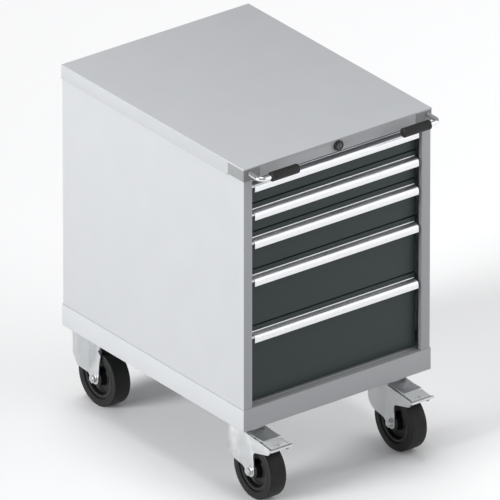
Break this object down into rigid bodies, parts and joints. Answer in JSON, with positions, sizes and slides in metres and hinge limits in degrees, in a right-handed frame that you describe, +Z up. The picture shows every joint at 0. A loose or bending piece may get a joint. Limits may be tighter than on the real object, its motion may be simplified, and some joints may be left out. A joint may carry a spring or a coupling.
{
  "type": "mobile drawer cabinet",
  "caption": "Mobile workshop cabinet in sheet steel with full-width drawer handles, push grips, a central lock and castors, the front ones with brakes.",
  "frame": {"origin": "on the floor, under the middle of the whole outline", "axes": "+Z up, -Y to the front with the drawers and push grips, -X to the left side"},
  "size_m": [0.564, 0.785, 0.897],
  "materials": {
    "light_grey_paint": "smooth satin powder coat",
    "anthracite_paint": "smooth satin powder coat",
    "tray_paint": "powder coat inside the drawers",
    "corner_grey": "fine moulded grain",
    "handle_aluminium": "drawn and anodised, fine lines along it",
    "tube_steel": "bright plated",
    "grip_rubber": "matt",
    "lock_black": "semi-gloss",
    "lock_nickel": "nickel plated",
    "zinc_steel": "bright zinc plated",
    "castor_zinc": "bright zinc plated pressing",
    "rim_black": "moulded polyamide",
    "tyre_rubber": "solid rubber"
  },
  "bodies": {
    "cabinet": {"top_cover": "light_grey_paint", "side_panel_left": "light_grey_paint", "side_panel_right": "light_grey_paint", "back_panel": "light_grey_paint", "base_plinth": "light_grey_paint", "floor_panel": "light_grey_paint", "top_rail": "light_grey_paint", "corner_block_left": "corner_grey", "corner_block_right": "corner_grey", "push_tube_left": "tube_steel", "push_tube_right": "tube_steel", "grip_left": "grip_rubber", "grip_right": "grip_rubber", "lock_case": "lock_black", "cabinet_rails": "zinc_steel", "swivel_plate_left": "castor_zinc", "swivel_plate_right": "castor_zinc", "rear_bracket_left": "castor_zinc", "rear_bracket_right": "castor_zinc", "rear_axles": "zinc_steel", "castor_screws": "zinc_steel"},
    "lock_barrel": {"lock_plug": "lock_nickel", "lock_cam": "zinc_steel"},
    "lock_push_rod": {"lock_rod": "zinc_steel"},
    "lock_hook_bar": {"lock_bar": "zinc_steel"},
    "drawer_1": {"drawer_front_1": "anthracite_paint", "drawer_handle_1": "handle_aluminium", "drawer_tray_1": "tray_paint"},
    "slides_1": {"middle_rails_1": "zinc_steel"},
    "drawer_2": {"drawer_front_2": "anthracite_paint", "drawer_handle_2": "handle_aluminium", "drawer_tray_2": "tray_paint"},
    "slides_2": {"middle_rails_2": "zinc_steel"},
    "drawer_3": {"drawer_front_3": "anthracite_paint", "drawer_handle_3": "handle_aluminium", "drawer_tray_3": "tray_paint"},
    "slides_3": {"middle_rails_3": "zinc_steel"},
    "drawer_4": {"drawer_front_4": "anthracite_paint", "drawer_handle_4": "handle_aluminium", "drawer_tray_4": "tray_paint"},
    "slides_4": {"middle_rails_4": "zinc_steel"},
    "drawer_5": {"drawer_front_5": "anthracite_paint", "drawer_handle_5": "handle_aluminium", "drawer_tray_5": "tray_paint"},
    "slides_5": {"middle_rails_5": "zinc_steel"},
    "front_castor_left": {"front_fork_left": "castor_zinc", "front_axle_left": "zinc_steel"},
    "front_wheel_left": {"front_rim_left": "rim_black", "front_tyre_left": "tyre_rubber"},
    "brake_left": {"brake_pedal_left": "castor_zinc"},
    "rear_wheel_left": {"rear_rim_left": "rim_black", "rear_tyre_left": "tyre_rubber"},
    "front_castor_right": {"front_fork_right": "castor_zinc", "front_axle_right": "zinc_steel"},
    "front_wheel_right": {"front_rim_right": "rim_black", "front_tyre_right": "tyre_rubber"},
    "brake_right": {"brake_pedal_right": "castor_zinc"},
    "rear_wheel_right": {"rear_rim_right": "rim_black", "rear_tyre_right": "tyre_rubber"}
  },
  "joints": [
    {"name": "lock_turn", "type": "hinge", "parent": "cabinet", "child": "lock_barrel", "pos_m": [0, -0.3325, 0.88], "axis": [0, -1, 0], "range_deg": [0, 90]},
    {"name": "lock_rod_push", "type": "slide", "parent": "cabinet", "child": "lock_push_rod", "axis": [1, 0, 0], "range_m": [0, 0.0085]},
    {"name": "lock_bar_lift", "type": "slide", "parent": "cabinet", "child": "lock_hook_bar", "axis": [0, 0, 1], "range_m": [0, 0.0085]},
    {"name": "drawer_1_slide", "type": "slide", "parent": "cabinet", "child": "drawer_1", "axis": [0, -1, 0], "range_m": [0, 0.61]},
    {"name": "slides_1_run", "type": "slide", "parent": "cabinet", "child": "slides_1", "axis": [0, -1, 0], "range_m": [0, 0.305]},
    {"name": "drawer_2_slide", "type": "slide", "parent": "cabinet", "child": "drawer_2", "axis": [0, -1, 0], "range_m": [0, 0.61]},
    {"name": "slides_2_run", "type": "slide", "parent": "cabinet", "child": "slides_2", "axis": [0, -1, 0], "range_m": [0, 0.305]},
    {"name": "drawer_3_slide", "type": "slide", "parent": "cabinet", "child": "drawer_3", "axis": [0, -1, 0], "range_m": [0, 0.61]},
    {"name": "slides_3_run", "type": "slide", "parent": "cabinet", "child": "slides_3", "axis": [0, -1, 0], "range_m": [0, 0.305]},
    {"name": "drawer_4_slide", "type": "slide", "parent": "cabinet", "child": "drawer_4", "axis": [0, -1, 0], "range_m": [0, 0.61]},
    {"name": "slides_4_run", "type": "slide", "parent": "cabinet", "child": "slides_4", "axis": [0, -1, 0], "range_m": [0, 0.305]},
    {"name": "drawer_5_slide", "type": "slide", "parent": "cabinet", "child": "drawer_5", "axis": [0, -1, 0], "range_m": [0, 0.61]},
    {"name": "slides_5_run", "type": "slide", "parent": "cabinet", "child": "slides_5", "axis": [0, -1, 0], "range_m": [0, 0.305]},
    {"name": "front_castor_left_swivel", "type": "hinge", "parent": "cabinet", "child": "front_castor_left", "pos_m": [-0.212, -0.2475, 0.19], "axis": [0, 0, 1], "continuous": true},
    {"name": "front_wheel_left_spin", "type": "hinge", "parent": "front_castor_left", "child": "front_wheel_left", "pos_m": [-0.212, -0.3055, 0.075], "axis": [1, 0, 0], "continuous": true},
    {"name": "brake_left_press", "type": "hinge", "parent": "front_castor_left", "child": "brake_left", "pos_m": [-0.212, -0.3045, 0.163], "axis": [1, 0, 0], "range_deg": [0, 10]},
    {"name": "rear_wheel_left_spin", "type": "hinge", "parent": "cabinet", "child": "rear_wheel_left", "pos_m": [-0.212, 0.3155, 0.075], "axis": [1, 0, 0], "continuous": true},
    {"name": "front_castor_right_swivel", "type": "hinge", "parent": "cabinet", "child": "front_castor_right", "pos_m": [0.212, -0.2475, 0.19], "axis": [0, 0, 1], "continuous": true},
    {"name": "front_wheel_right_spin", "type": "hinge", "parent": "front_castor_right", "child": "front_wheel_right", "pos_m": [0.212, -0.3055, 0.075], "axis": [1, 0, 0], "continuous": true},
    {"name": "brake_right_press", "type": "hinge", "parent": "front_castor_right", "child": "brake_right", "pos_m": [0.212, -0.3045, 0.163], "axis": [1, 0, 0], "range_deg": [0, 10]},
    {"name": "rear_wheel_right_spin", "type": "hinge", "parent": "cabinet", "child": "rear_wheel_right", "pos_m": [0.212, 0.3155, 0.075], "axis": [1, 0, 0], "continuous": true}
  ],
  "couplings": [
    {"joint": "lock_rod_push", "follows": "lock_turn", "m_per_rad": 0.005092},
    {"joint": "lock_bar_lift", "follows": "lock_turn", "m_per_rad": 0.005092},
    {"joint": "slides_1_run", "follows": "drawer_1_slide", "ratio": 0.5},
    {"joint": "slides_2_run", "follows": "drawer_2_slide", "ratio": 0.5},
    {"joint": "slides_3_run", "follows": "drawer_3_slide", "ratio": 0.5},
    {"joint": "slides_4_run", "follows": "drawer_4_slide", "ratio": 0.5},
    {"joint": "slides_5_run", "follows": "drawer_5_slide", "ratio": 0.5}
  ]
}
